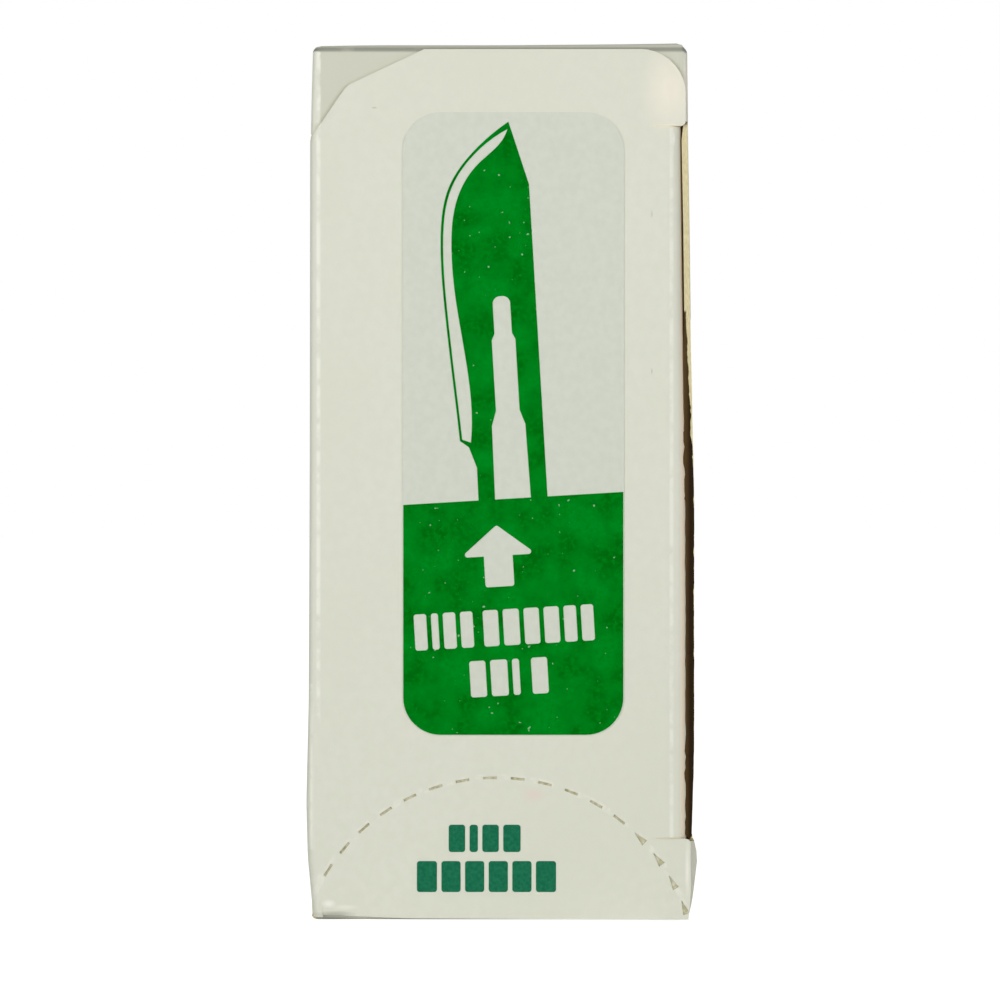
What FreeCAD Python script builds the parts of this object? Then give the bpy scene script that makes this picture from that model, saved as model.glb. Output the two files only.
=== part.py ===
import FreeCAD, Part
import math
import os

# A slit-lock folding carton for scalpel blades, in millimetres.
# X runs across the lid, Y from the lid to the back, Z up. The carton stands on its bottom wall.

# Card and outer size
WIDTH = 42.0
HEIGHT = 96.4
DEPTH = 84.0
CARD = 0.45
WALL_BEND = 0.6  # outer radius of the long edges
END_BEND = 0.9  # outer radius where a wall turns into a flap or the lid
GLUE_FLAP = 12.0  # height of the seam flap inside the left wall
WALL_DROP = 0.3  # raw upper edge of the left wall, below the top

# Lid and its tuck
LID_GAP = 0.1  # behind the shut lid
LID_MARGIN = 0.45  # lid inside the carton's height, at each end
EAR_INSET = 0.4  # free edge of the ears, inside the carton's width
EAR_TOP = 8.9  # upper slit, below the top
EAR_BOTTOM = 9.1  # lower slit, above the bottom
EAR_RADIUS = 0.55
SLIT_LENGTH = 3.6
SLIT_WIDTH = 0.3
LID_CORNER = 5.0  # rounded upper corner at the free edge
TUCK_CLEAR = 0.45  # between the tuck's fold and the right wall
TUCK_BEND = 2.0
TUCK_LENGTH = 11.0  # from the lid's face to the tuck's tip
TUCK_TAPER = 1.5
TUCK_CORNER = 4.0

# Cut corner where the lid and the left wall meet under the seam
CUT_REACH = 12.5  # along the lid's upper edge
CUT_DROP = 9.9  # down the fold
KNEE_IN = 4.0
KNEE_DOWN = 4.0
KNEE_RADIUS = 2.5
WALL_CUT = 8.0  # back along the left wall
WALL_STEP = 3.0  # rise of the wall's cut edge on the way back

# Dust flaps
TOP_FLAP = 32.0
BOTTOM_FLAP = 13.0
BACK_FLAP = 30.0
SHOULDER_INSET = 0.9
LOCK_CLEAR = 0.8  # between a flap's shoulder and the slit
FLAP_TAPER = 2.0
FLAP_CORNER = 3.0

# Glued back panels
PANEL_MARGIN = 0.5
INNER_PANEL = 36.0
OUTER_PANEL = 41.0
PANEL_CORNER = 1.0

# Torn front edge of the right wall: height above the bottom, depth of the tear
TEAR = [(66.0, 0.0), (64.4, 0.5), (61.0, 0.3), (57.8, 0.9), (56.8, 0.5), (54.0, 1.1), (47.0, 1.9),
        (43.7, 2.7), (42.6, 2.2), (30.0, 3.0), (17.0, 2.5), (10.6, 1.2), (9.4, 0.0)]

# Half-moon tear tab of the lid
TAB_LEFT = 3.8  # height of the arc's end at the fold
TAB_RIGHT = 1.5  # height of its end at the ear's edge
TAB_SIDE = 0.5  # between that end and the ear's edge
TAB_RISE = 13.1  # of the arc above the line between its ends
TAB_DASHES = 18
DASH_LENGTH = 1.4
DASH_WIDTH = 0.25

# Paper label
LABEL_WIDTH = 24.4
LABEL_HEIGHT = 68.6
LABEL_X = 1.3
LABEL_BOTTOM = 20.4
LABEL_RADIUS = 4.2
LABEL_PAPER = 0.1

# Print, drawn upright about the middle of the blade's shank and then turned
INK = 0.04
PRINT_TURN = 3.4
PRINT_X = 1.27
FIELD_TOP = 46.5
FIELD_INSET = 0.1
SHANK_HALF = 3.8
SPINE_TOP = 34.4
BLADE_TIP = (1.95, 41.4)
BLADE_EDGE = [(-2.5, 37.95), (-5.0, 34.6), (-6.25, 29.0), (-6.25, 20.8), (-5.85, 13.5), (-5.45, 6.65)]
HEEL = [(-4.5, 5.9), (-3.75, 3.6)]
BEVEL_LINE = 0.26
BEVEL_INNER = [(1.15, 39.4), (-1.6, 37.0), (-4.15, 33.3), (-5.1, 28.3), (-5.0, 22.4), (-4.25, 6.4)]
BEVEL_TIP = (1.8, 40.6)
SLOT_TOP = 22.3
SLOT_HALVES = [(0.97, 18.2), (1.31, 17.5), (1.31, 9.7), (1.85, 8.1), (1.98, 0.0)]
ARROW_HEIGHT = 6.8
ARROW_WIDTH = 8.4
ARROW_STEM = 3.2
ARROW_X = -2.0
ARROW_DROP = 9.6  # foot of the arrow, below the field's upper edge
BAR_RADIUS = 0.3
BAR_GAP = 0.5
LABEL_ROWS = [(-11.7, -16.1, 4.0, [1.4, 0.8, 1.4, 1.4]), (-4.1, -16.1, 4.0, [1.7, 1.8, 1.7, 1.7, 1.4, 1.4]),
              (-5.9, -21.6, 4.0, [1.8, 1.9, 0.8]), (0.9, -21.6, 4.0, [1.8])]
TAB_ROWS = [(-5.8, 7.6, 3.0, [1.8, 0.9, 1.8, 1.9]), (-9.3, 3.2, 3.4, [2.2, 2.1, 2.1, 2.1, 2.1, 2.2])]

# Faces and places worked out from the sizes
FRONT = -DEPTH / 2
BACK = DEPTH / 2
LEFT = -WIDTH / 2
RIGHT = WIDTH / 2
EDGE = CARD + LID_GAP
EAR_EDGE = RIGHT - EAR_INSET
FOLD_FACE = RIGHT - CARD - TUCK_CLEAR
UPPER_SLIT = HEIGHT - EAR_TOP
LOWER_SLIT = EAR_BOTTOM
MARGIN = 5.0  # how far a cutting block stands out past what it cuts

X = FreeCAD.Vector(1, 0, 0)
Y = FreeCAD.Vector(0, 1, 0)
Z = FreeCAD.Vector(0, 0, 1)


def point(u, v):
    return FreeCAD.Vector(u, v, 0)


def rounded_face(corners):
    """Flat face in the XY plane through corners (u, v, radius), each corner rounded."""
    places = [point(u, v) for u, v, _ in corners]
    edges = []
    ends = []
    for index, place in enumerate(places):
        radius = corners[index][2]
        back = (places[index - 1] - place).normalize()
        ahead = (places[(index + 1) % len(places)] - place).normalize()
        if radius <= 0:
            ends.append((place, place))
            continue
        half = back.getAngle(ahead) / 2
        reach = radius / math.tan(half)
        start = place + back * reach
        end = place + ahead * reach
        centre = place + (back + ahead).normalize() * (radius / math.sin(half))
        middle = centre + (place - centre).normalize() * radius
        edges.append(Part.Arc(start, middle, end).toShape())
        ends.append((start, end))
    for index, (_, end) in enumerate(ends):
        start = ends[(index + 1) % len(ends)][0]
        if end.distanceToPoint(start) > 1e-6:
            edges.append(Part.LineSegment(end, start).toShape())
    return Part.Face(Part.Wire(Part.__sortEdges__(edges)))


def folded_section(path, bend):
    """Section of a folded card: the path is its outer face, and the card lies to its left."""
    def left_of(a, b):
        along = (b - a).normalize()
        return FreeCAD.Vector(-along.y, along.x, 0)

    places = [point(u, v) for u, v in path]
    inner = []
    for index, place in enumerate(places):
        sides = [left_of(places[i], places[i + 1]) for i in (index - 1, index) if 0 <= i < len(places) - 1]
        shift = sides[0] if len(sides) == 1 else (sides[0] + sides[1]) * (1 / (1 + sides[0].dot(sides[1])))
        inner.append(place + shift * CARD)
    last = len(places) - 1
    outer_side = [(p.x, p.y, bend if 0 < i < last else 0) for i, p in enumerate(places)]
    inner_side = [(p.x, p.y, bend - CARD if 0 < i < last else 0) for i, p in enumerate(inner)]
    return rounded_face(outer_side + inner_side[::-1])


def placed(shape, u_axis, v_axis, origin):
    """The shape moved from the XY plane to the plane of two axes through the origin."""
    w_axis = u_axis.cross(v_axis)
    matrix = FreeCAD.Matrix(
        u_axis.x, v_axis.x, w_axis.x, origin.x,
        u_axis.y, v_axis.y, w_axis.y, origin.y,
        u_axis.z, v_axis.z, w_axis.z, origin.z,
        0, 0, 0, 1)
    result = shape.copy()
    result.Placement = FreeCAD.Placement(matrix)
    return result


def block(x, y, z):
    """Box between two values on each axis."""
    return Part.makeBox(x[1] - x[0], y[1] - y[0], z[1] - z[0], FreeCAD.Vector(x[0], y[0], z[0]))


def front_prism(face, near, far):
    """A face drawn in XZ, extruded along Y from near to far."""
    return placed(face.extrude(Z * (far - near)), X, Z, FreeCAD.Vector(0, far, 0))


def side_prism(face, near, far):
    """A face drawn in YZ, extruded along X from near to far."""
    return placed(face.extrude(Z * (far - near)), Y, Z, FreeCAD.Vector(near, 0, 0))


def sleeve():
    """The four walls, with the seam flap glued inside the left wall."""
    seam = LEFT + CARD
    wrap = folded_section([(0, 0), (RIGHT, 0), (RIGHT, HEIGHT), (seam, HEIGHT), (seam, HEIGHT - GLUE_FLAP)],
                          WALL_BEND)
    left_wall = folded_section([(LEFT, HEIGHT - WALL_DROP), (LEFT, 0), (0, 0)], WALL_BEND)
    near, far = FRONT + EDGE, BACK - END_BEND
    walls = front_prism(wrap, near, far).fuse(front_prism(left_wall, near, far))
    seam_front = block((seam, seam + CARD), (near - MARGIN, near + CARD), (HEIGHT - GLUE_FLAP, HEIGHT - CARD))
    return walls.cut(seam_front)


def end_flap(walls, end, side, level, reach, spread, outline):
    """Turn a wall over at one end of the sleeve into a flap that is trimmed to an outline in XZ.

    The level is the depth of the flap's outer face under the end of the carton."""
    inward = Y if end == "front" else -Y
    plane = FRONT if end == "front" else BACK
    across, down, edge = {
        "top": (X, -Z, HEIGHT), "bottom": (X, Z, 0), "left": (Z, X, LEFT), "right": (Z, -X, RIGHT)}[side]
    origin = inward * abs(plane) * -1 + down * edge * (-1 if side in ("top", "right") else 1)
    section = folded_section([(level, reach), (level, 0), (level + END_BEND, 0)], END_BEND)
    width = spread[1] - spread[0]
    strip = section.extrude(Z * width)
    lift = inward.cross(down)
    start = spread[0] if lift.dot(across) > 0 else -spread[1]
    strip = placed(strip, inward, down, origin + lift * start)
    trimmed = strip.common(front_prism(outline, FRONT, BACK))
    reach_in = level + END_BEND
    away = Part.makeBox(reach_in, CARD, width)
    away = placed(away, inward, down, origin + lift * start)
    return walls.cut(away).fuse(trimmed)


def dust_outline(top, reach, locks):
    """Outline of a dust flap in XZ, with full-width shoulders behind the ears where it locks the lid."""
    left = LEFT + CARD + (END_BEND if top and locks else 0)
    shoulder = RIGHT - SHOULDER_INSET
    shoulder_drop = (EAR_TOP if top else EAR_BOTTOM) - LOCK_CLEAR
    inside = FOLD_FACE - TUCK_BEND if locks else shoulder
    corners = [(left, 0, WALL_BEND), (left, GLUE_FLAP, 0), (left + FLAP_TAPER, reach, FLAP_CORNER),
               (inside - FLAP_TAPER / 2, reach, FLAP_CORNER)]
    if locks:
        corners += [(inside, shoulder_drop + LOCK_CLEAR, 0), (shoulder, shoulder_drop, EAR_RADIUS)]
    corners += [(shoulder, 0, 0)]
    return rounded_face([(x, HEIGHT - drop if top else drop, r) for x, drop, r in corners])


def carton():
    """The folded card: walls, seam flap, front dust flaps and the glued back."""
    body = sleeve()
    dust_spread = (LEFT + CARD, RIGHT - SHOULDER_INSET)
    panel_spread = (PANEL_MARGIN, HEIGHT - PANEL_MARGIN)
    for side, reach in (("top", TOP_FLAP), ("bottom", BOTTOM_FLAP)):
        outline = dust_outline(side == "top", reach, True)
        body = end_flap(body, "front", side, EDGE, reach, dust_spread, outline)
        outline = dust_outline(side == "top", BACK_FLAP, False)
        body = end_flap(body, "back", side, 2 * CARD, BACK_FLAP, dust_spread, outline)
    inner = rounded_face([(LEFT, PANEL_MARGIN, 0), (LEFT + INNER_PANEL, PANEL_MARGIN, PANEL_CORNER),
                          (LEFT + INNER_PANEL, HEIGHT - PANEL_MARGIN, PANEL_CORNER),
                          (LEFT, HEIGHT - PANEL_MARGIN, 0)])
    outer = rounded_face([(RIGHT, PANEL_MARGIN, 0), (RIGHT, HEIGHT - PANEL_MARGIN, 0),
                          (RIGHT - OUTER_PANEL, HEIGHT - PANEL_MARGIN, PANEL_CORNER),
                          (RIGHT - OUTER_PANEL, PANEL_MARGIN, PANEL_CORNER)])
    body = end_flap(body, "back", "left", CARD, INNER_PANEL, panel_spread, inner)
    body = end_flap(body, "back", "right", 0, OUTER_PANEL, panel_spread, outer)
    low, high = LOWER_SLIT - LOCK_CLEAR, UPPER_SLIT + LOCK_CLEAR
    seam = LEFT + CARD
    body = corner_fold(body, RIGHT, END_BEND, low)
    body = corner_fold(body, RIGHT, high, HEIGHT - END_BEND)
    body = corner_fold(body, seam, HEIGHT - GLUE_FLAP, HEIGHT - END_BEND)
    return body.cut(wall_cut()).cut(torn_edge()).removeSplitter()


def corner_fold(body, wall, low, high):
    """Turn the front edge of a wall round to the dust flap beside it, between two heights."""
    near = FRONT + EDGE
    path = [(wall, near + END_BEND), (wall, near), (wall + END_BEND, near)]
    if wall > 0:
        path = [(2 * wall - x, y) for x, y in reversed(path)]
    bend = folded_section(path, END_BEND).extrude(Z * (high - low))
    bend.translate(Z * low)
    side = (wall - CARD, wall) if wall > 0 else (wall, wall + CARD)
    return body.cut(block(side, (near, near + END_BEND), (low, high))).fuse(bend)


def wall_cut():
    """Corner cut off the left wall where the lid's cut corner runs over the fold."""
    fold = HEIGHT - LID_MARGIN - CUT_DROP
    corner = rounded_face([(FRONT + EDGE - MARGIN, fold, 0), (FRONT + EDGE, fold, 0),
                           (FRONT + EDGE + WALL_CUT, fold + WALL_STEP, 0),
                           (FRONT + EDGE + WALL_CUT, HEIGHT + MARGIN, 0),
                           (FRONT + EDGE - MARGIN, HEIGHT + MARGIN, 0)])
    return side_prism(corner, LEFT - MARGIN, LEFT + CARD)


def torn_edge():
    """Ragged strip torn off the right wall's front edge, beside the tuck."""
    edge = FRONT + EDGE
    places = [(edge - MARGIN, TEAR[-1][0], 0)]
    places += [(edge + depth, height, 0) for height, depth in reversed(TEAR)]
    places += [(edge - MARGIN, TEAR[0][0], 0)]
    return side_prism(rounded_face(places), RIGHT - CARD, RIGHT + MARGIN)


def tuck_lean():
    """Lean of the tuck, in degrees, that keeps its tip as far from the fold line as its root."""
    span = FOLD_FACE - LEFT
    straight = TUCK_LENGTH - TUCK_BEND
    return math.degrees(math.atan2(TUCK_BEND, span) + math.asin(straight / (2 * math.hypot(span, TUCK_BEND))))


def lid_outline():
    """The lid's flat panel in XZ, with its ears and its cut and rounded upper corners."""
    low, high = LID_MARGIN, HEIGHT - LID_MARGIN
    bend_start = FOLD_FACE - TUCK_BEND
    curl = LEFT + END_BEND
    slope = (CUT_DROP - KNEE_DOWN) / KNEE_IN
    return rounded_face([
        (curl, low, 0), (EAR_EDGE, low, 0), (EAR_EDGE, LOWER_SLIT - SLIT_WIDTH / 2, EAR_RADIUS),
        (bend_start, LOWER_SLIT - SLIT_WIDTH / 2, 0), (bend_start, UPPER_SLIT + SLIT_WIDTH / 2, 0),
        (EAR_EDGE, UPPER_SLIT + SLIT_WIDTH / 2, EAR_RADIUS), (EAR_EDGE, high, LID_CORNER),
        (LEFT + CUT_REACH, high, 0), (LEFT + KNEE_IN, high - KNEE_DOWN, KNEE_RADIUS),
        (curl, high - CUT_DROP + slope * END_BEND, 0)])


def lid():
    """The lid: panel, rounded fold at the left wall, and tuck between the two slits."""
    panel = front_prism(lid_outline(), FRONT, FRONT + CARD)
    lean = math.radians(tuck_lean())
    straight = TUCK_LENGTH - TUCK_BEND
    # The fold's face and the lid's face meet in a corner that the bend rounds off.
    corner_x = FOLD_FACE + TUCK_BEND * (math.tan(lean / 2 + math.pi / 4) - 1)
    tip = (FOLD_FACE - straight * math.sin(lean), FRONT + TUCK_BEND + straight * math.cos(lean))
    tuck_section = folded_section([(FOLD_FACE - TUCK_BEND - CARD, FRONT), (corner_x, FRONT), tip], TUCK_BEND)
    low, high = LOWER_SLIT + SLIT_WIDTH / 2, UPPER_SLIT - SLIT_WIDTH / 2
    tuck = tuck_section.extrude(Z * (high - low))
    tuck.translate(Z * low)
    deep = tip[1] + CARD
    tuck_shape = rounded_face([(FRONT - CARD, low, 0), (FRONT + TUCK_BEND, low, 0),
                               (deep, low + TUCK_TAPER, TUCK_CORNER), (deep, high - TUCK_TAPER, TUCK_CORNER),
                               (FRONT + TUCK_BEND, high, 0), (FRONT - CARD, high, 0)])
    tuck = tuck.common(side_prism(tuck_shape, LEFT, RIGHT))
    curl_section = folded_section([(LEFT, FRONT + 2 * END_BEND), (LEFT, FRONT), (LEFT + END_BEND, FRONT)],
                                  END_BEND)
    curl_top = HEIGHT - LID_MARGIN - CUT_DROP
    slope = (CUT_DROP - KNEE_DOWN) / KNEE_IN
    curl = curl_section.extrude(Z * (HEIGHT - 2 * LID_MARGIN))
    curl.translate(Z * LID_MARGIN)
    curl_shape = rounded_face([(LEFT - MARGIN, LID_MARGIN, 0), (LEFT + END_BEND, LID_MARGIN, 0),
                               (LEFT + END_BEND, curl_top + slope * END_BEND, 0), (LEFT, curl_top, 0),
                               (LEFT - MARGIN, curl_top, 0)])
    curl = curl.common(front_prism(curl_shape, FRONT, FRONT + CARD))
    whole = panel.fuse(tuck).fuse(curl)
    for height in (LOWER_SLIT, UPPER_SLIT):
        whole = whole.cut(block((EAR_EDGE - SLIT_LENGTH, RIGHT), (FRONT - MARGIN, FRONT + EDGE),
                                (height - SLIT_WIDTH / 2, height + SLIT_WIDTH / 2)))
    return whole.cut(tab_dashes()).removeSplitter()


def tab_arc():
    """Centre, radius and end angles of the tear tab's arc, from its two ends and its rise."""
    start = point(EAR_EDGE - TAB_SIDE, TAB_RIGHT)
    end = point(LEFT + END_BEND, TAB_LEFT)
    half = start.distanceToPoint(end) / 2
    radius = (half ** 2 + TAB_RISE ** 2) / (2 * TAB_RISE)
    along = (end - start).normalize()
    centre = (start + end) / 2 - point(along.y, -along.x) * (radius - TAB_RISE)
    angles = [math.atan2(place.y - centre.y, place.x - centre.x) for place in (start, end)]
    return centre, radius, angles[0], angles[1] % (2 * math.pi)


def tab_dashes():
    """Perforation of the half-moon tab: short cuts on an arc that rises from the lid's lower edge."""
    centre, radius, first, last = tab_arc()
    dashes = []
    for index in range(TAB_DASHES):
        angle = first + (last - first) * index / (TAB_DASHES - 1)
        dash = Part.makeBox(DASH_LENGTH, CARD + 2 * LID_GAP, DASH_WIDTH)
        dash.translate(FreeCAD.Vector(-DASH_LENGTH / 2, FRONT - LID_GAP, -DASH_WIDTH / 2))
        dash.rotate(FreeCAD.Vector(0, FRONT, 0), Y, 90 - math.degrees(angle))
        dash.translate(FreeCAD.Vector(centre.x + radius * math.cos(angle), 0,
                                      centre.y + radius * math.sin(angle)))
        dashes.append(dash)
    return Part.makeCompound(dashes)


def label_face(inset):
    """Label outline in XZ, drawn in from its edge by an inset."""
    low, high = LABEL_BOTTOM + inset, LABEL_BOTTOM + LABEL_HEIGHT - inset
    left, right = LABEL_X - LABEL_WIDTH / 2 + inset, LABEL_X + LABEL_WIDTH / 2 - inset
    radius = LABEL_RADIUS - inset
    return rounded_face([(left, low, radius), (right, low, radius), (right, high, radius), (left, high, radius)])


def blade_label():
    """Paper label stuck on the lid."""
    return front_prism(label_face(0), FRONT - LABEL_PAPER, FRONT)


def spline_edge(places):
    curve = Part.BSplineCurve()
    curve.interpolate([point(u, v) for u, v in places])
    return curve.toShape()


def line_edges(places):
    return [Part.LineSegment(point(*a), point(*b)).toShape() for a, b in zip(places, places[1:])]


def blade_face():
    """Outline of the blade picture: cutting edge, heel, shank and spine, upright."""
    edge = spline_edge([BLADE_TIP] + BLADE_EDGE)
    rest = line_edges([BLADE_EDGE[-1]] + HEEL + [(-SHANK_HALF, -CARD), (SHANK_HALF, -CARD),
                                                 (SHANK_HALF, SPINE_TOP), BLADE_TIP])
    return Part.Face(Part.Wire(Part.__sortEdges__([edge] + rest)))


def bevel_face():
    """Bare strip of the ground bevel, between the thin edge line and the solid body."""
    outer = [(u + BEVEL_LINE, v - BEVEL_LINE / 2) for u, v in BLADE_EDGE[:-1]]
    outer.append((BLADE_EDGE[-1][0] + BEVEL_LINE, BLADE_EDGE[-1][1] + BEVEL_LINE / 2))
    edges = [spline_edge([BEVEL_TIP] + outer), spline_edge([BEVEL_TIP] + BEVEL_INNER)]
    return Part.Face(Part.Wire(Part.__sortEdges__(edges + line_edges([outer[-1], BEVEL_INNER[-1]]))))


def slot_face():
    """Bare stepped slot of the blade, rounded at its upper end."""
    half = SLOT_HALVES[0][0]
    right = [(half, SLOT_TOP, half - BAR_RADIUS / 2)] + [(u, v, 0) for u, v in SLOT_HALVES]
    left = [(-u, v, r) for u, v, r in reversed(right)]
    return rounded_face(right + left)


def arrow_face():
    """Plain block arrow that points up to the blade."""
    foot = -ARROW_DROP
    neck = foot + ARROW_HEIGHT / 2
    stem, wing = ARROW_STEM / 2, ARROW_WIDTH / 2
    arrow = rounded_face([(-stem, foot, BAR_RADIUS), (stem, foot, BAR_RADIUS), (stem, neck, 0),
                          (wing, neck, BAR_RADIUS), (0, foot + ARROW_HEIGHT, BAR_RADIUS),
                          (-wing, neck, BAR_RADIUS), (-stem, neck, 0)])
    arrow.translate(point(ARROW_X, 0))
    return arrow


def bar_faces(rows):
    """Rows of plain rounded bars: left end, foot, height and the bars' widths."""
    faces = []
    for left, foot, height, widths in rows:
        for width in widths:
            faces.append(rounded_face([(left, foot, BAR_RADIUS), (left + width, foot, BAR_RADIUS),
                                       (left + width, foot + height, BAR_RADIUS),
                                       (left, foot + height, BAR_RADIUS)]))
            left += width + BAR_GAP
    return faces


def turned(face):
    """A face of the label's print, turned and set at the field's upper edge."""
    result = face.copy()
    result.rotate(point(0, 0), Z, PRINT_TURN)
    result.translate(point(PRINT_X, FIELD_TOP))
    return result


def label_print():
    """Ink on the label: a field with bare bars and an arrow, and the blade above it."""
    field = label_face(FIELD_INSET)
    below = rounded_face([(-LABEL_WIDTH, -LABEL_HEIGHT, 0), (LABEL_WIDTH, -LABEL_HEIGHT, 0),
                          (LABEL_WIDTH, 0, 0), (-LABEL_WIDTH, 0, 0)])
    field = field.common(turned(below))
    ink = field.fuse(turned(blade_face()))
    for bare in [bevel_face(), slot_face(), arrow_face()] + bar_faces(LABEL_ROWS):
        ink = ink.cut(turned(bare))
    face = FRONT - LABEL_PAPER
    return front_prism(ink.removeSplitter(), face - INK, face)


def tab_print():
    """Ink on the tear tab: two rows of plain bars."""
    return front_prism(Part.makeCompound(bar_faces(TAB_ROWS)), FRONT - INK, FRONT)


PIECES = {
    "carton": carton,
    "lid": lid,
    "blade_label": blade_label,
    "label_print": label_print,
    "tab_print": tab_print,
}

os.makedirs("parts", exist_ok=True)
for name, make in PIECES.items():
    shape = make()
    shape.exportStep("parts/" + name + ".step")
    print(name, "solids", len(shape.Solids), "volume", round(shape.Volume, 2), "valid", shape.isValid())
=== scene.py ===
# %% [markdown]
# # A folding carton for scalpel blades
# The real carton is one sheet of white coated board, cut, creased, folded and glued along one
# seam. A lid hangs on the left wall and tucks in at the right between two slits. A paper label
# with a green print sticks on the lid. This lesson folds the same sheet in Blender, gives it
# its worn edges and its papery surfaces, and lights it like a small product on a white table.

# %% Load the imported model
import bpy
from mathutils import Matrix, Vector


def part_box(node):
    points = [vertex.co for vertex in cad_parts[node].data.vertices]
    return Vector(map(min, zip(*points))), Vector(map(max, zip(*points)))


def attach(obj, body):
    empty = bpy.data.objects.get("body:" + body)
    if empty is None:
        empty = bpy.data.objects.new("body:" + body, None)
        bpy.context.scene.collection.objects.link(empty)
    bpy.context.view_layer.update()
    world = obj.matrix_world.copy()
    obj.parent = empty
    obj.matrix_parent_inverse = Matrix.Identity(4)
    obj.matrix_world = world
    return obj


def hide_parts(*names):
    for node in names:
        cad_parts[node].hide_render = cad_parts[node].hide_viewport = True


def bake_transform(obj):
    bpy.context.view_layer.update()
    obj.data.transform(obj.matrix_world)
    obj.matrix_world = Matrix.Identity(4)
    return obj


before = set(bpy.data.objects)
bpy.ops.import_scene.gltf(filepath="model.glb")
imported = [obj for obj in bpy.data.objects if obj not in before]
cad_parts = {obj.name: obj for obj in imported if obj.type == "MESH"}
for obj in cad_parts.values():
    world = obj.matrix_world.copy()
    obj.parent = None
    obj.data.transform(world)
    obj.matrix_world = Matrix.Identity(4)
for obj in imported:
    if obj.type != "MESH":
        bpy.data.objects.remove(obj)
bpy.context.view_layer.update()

# %% [markdown]
# Card is thought of in millimetres, and Blender works in metres. So every size below is in
# millimetres and one factor turns it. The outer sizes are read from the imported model. The rest
# are the sizes that a carton maker would write beside the creases.

# %% Sizes
import math
import random

import bmesh
import bpy
from mathutils import Vector

MM = 0.001


def corners_of(node):
    """Lowest and highest corner of a node, in millimetres."""
    return [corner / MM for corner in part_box(node)]


carton_low, carton_high = corners_of("carton")
lid_low, lid_high = corners_of("lid")
LEFT, RIGHT = carton_low.x, carton_high.x
WALL_EDGE, BACK = carton_low.y, carton_high.y
TOP = carton_high.z
FACE, FOOT, HEAD, EAR_EDGE = lid_low.y, lid_low.z, lid_high.z, lid_high.x

CARD = 0.45
LONG_BEND = 0.6
END_BEND = 0.9
SEAM_FLAP = 12.0
SEAM_DROP = 0.3
SLIT_LENGTH = 3.6
SLIT_WIDTH = 0.03
UPPER_SLIT = TOP - 8.9
LOWER_SLIT = 9.1
TUCK_START = 18.5
TUCK_BEND = 1.6
TUCK_LEAN = 9.1
TUCK_STRAIGHT = 9.4
TOP_FLAP, BOTTOM_FLAP, BACK_FLAP = 32.0, 13.0, 30.0
INNER_PANEL, OUTER_PANEL = 36.0, 41.0
FLAP_CORNER = 2.6
FRONT_BAND = 8.0
CUT_DROP = 9.9
BEND_STEPS = 6
MERGE = 0.01 * MM
print("carton", [round(v, 2) for v in carton_high - carton_low], "mm, card", CARD, "mm")

# %% [markdown]
# Modelling by hand means: select something, then run one operator on it. The helpers below
# do the selecting in code, by place, since nobody clicks here. Each of them works in edit mode
# on one open mesh, and each takes millimetres.

# %% Hands for the work
AXES = {"x": Vector((1, 0, 0)), "y": Vector((0, 1, 0)), "z": Vector((0, 0, 1))}


def leave_edit():
    """Close the mesh that is open in edit mode, if there is one."""
    if bpy.context.object and bpy.context.object.mode != "OBJECT":
        bpy.ops.object.mode_set(mode="OBJECT")


def hold(piece):
    """Make one piece the only selected one."""
    leave_edit()
    bpy.ops.object.select_all(action="DESELECT")
    piece.select_set(True)
    bpy.context.view_layer.objects.active = piece


def new_sheet(name, centre, width, height, turn):
    """A flat rectangle of board, left open in edit mode. The turn is in degrees."""
    leave_edit()
    bpy.ops.object.select_all(action="DESELECT")
    bpy.ops.mesh.primitive_plane_add(size=1, location=Vector(centre) * MM,
                                     rotation=[math.radians(angle) for angle in turn])
    piece = bpy.context.object
    piece.name = name
    piece.data.name = name
    piece.scale = (width * MM, height * MM, 1)
    bpy.ops.object.transform_apply(location=True, rotation=True, scale=True)
    bpy.ops.object.mode_set(mode="EDIT")
    return piece


def pick(piece, kind, where):
    """Select the vertices, edges or faces whose every corner is where the test says."""
    bpy.ops.mesh.select_mode(type=kind)
    bpy.ops.mesh.select_all(action="DESELECT")
    mesh = bmesh.from_edit_mesh(piece.data)
    elements = {"VERT": mesh.verts, "EDGE": mesh.edges, "FACE": mesh.faces}[kind]
    found = []
    for element in elements:
        corners = [element] if kind == "VERT" else element.verts
        if all(where(corner.co / MM) for corner in corners):
            found.append(element)
    for element in found:
        element.select_set(True)
    mesh.select_flush_mode()
    bmesh.update_edit_mesh(piece.data)


def near(value, target, reach=0.02):
    """Whether a measure is a given one, within a little."""
    return abs(value - target) < reach


def push_out(x=0.0, y=0.0, z=0.0):
    """Extrude what is selected."""
    bpy.ops.mesh.extrude_region_move(TRANSFORM_OT_translate={"value": Vector((x, y, z)) * MM})


def shift(x=0.0, y=0.0, z=0.0):
    """Move what is selected."""
    bpy.ops.transform.translate(value=Vector((x, y, z)) * MM)


def fold_over(centre, axis, degrees):
    """Swing the selected edge round a fold, which leaves a rounded bend behind."""
    bpy.ops.mesh.spin(steps=BEND_STEPS, angle=-math.radians(degrees), center=Vector(centre) * MM,
                      axis=AXES[axis])


def slice_flat(place, normal, cut_away=False):
    """Slice the selected faces along a plane, and drop what lies beyond it if asked."""
    bpy.ops.mesh.bisect(plane_co=Vector(place) * MM, plane_no=Vector(normal), clear_outer=cut_away,
                        threshold=1e-7)


def score(piece, axis, values, where=lambda p: True):
    """Draw lines across the faces picked, so that they can bend there later."""
    for value in values:
        pick(piece, "FACE", where)
        slice_flat(AXES[axis] * value, AXES[axis])


def trim(piece, place, normal, where):
    """Cut off what lies beyond a line, like a blade through the sheet."""
    pick(piece, "FACE", where)
    slice_flat(place, normal, cut_away=True)


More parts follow.
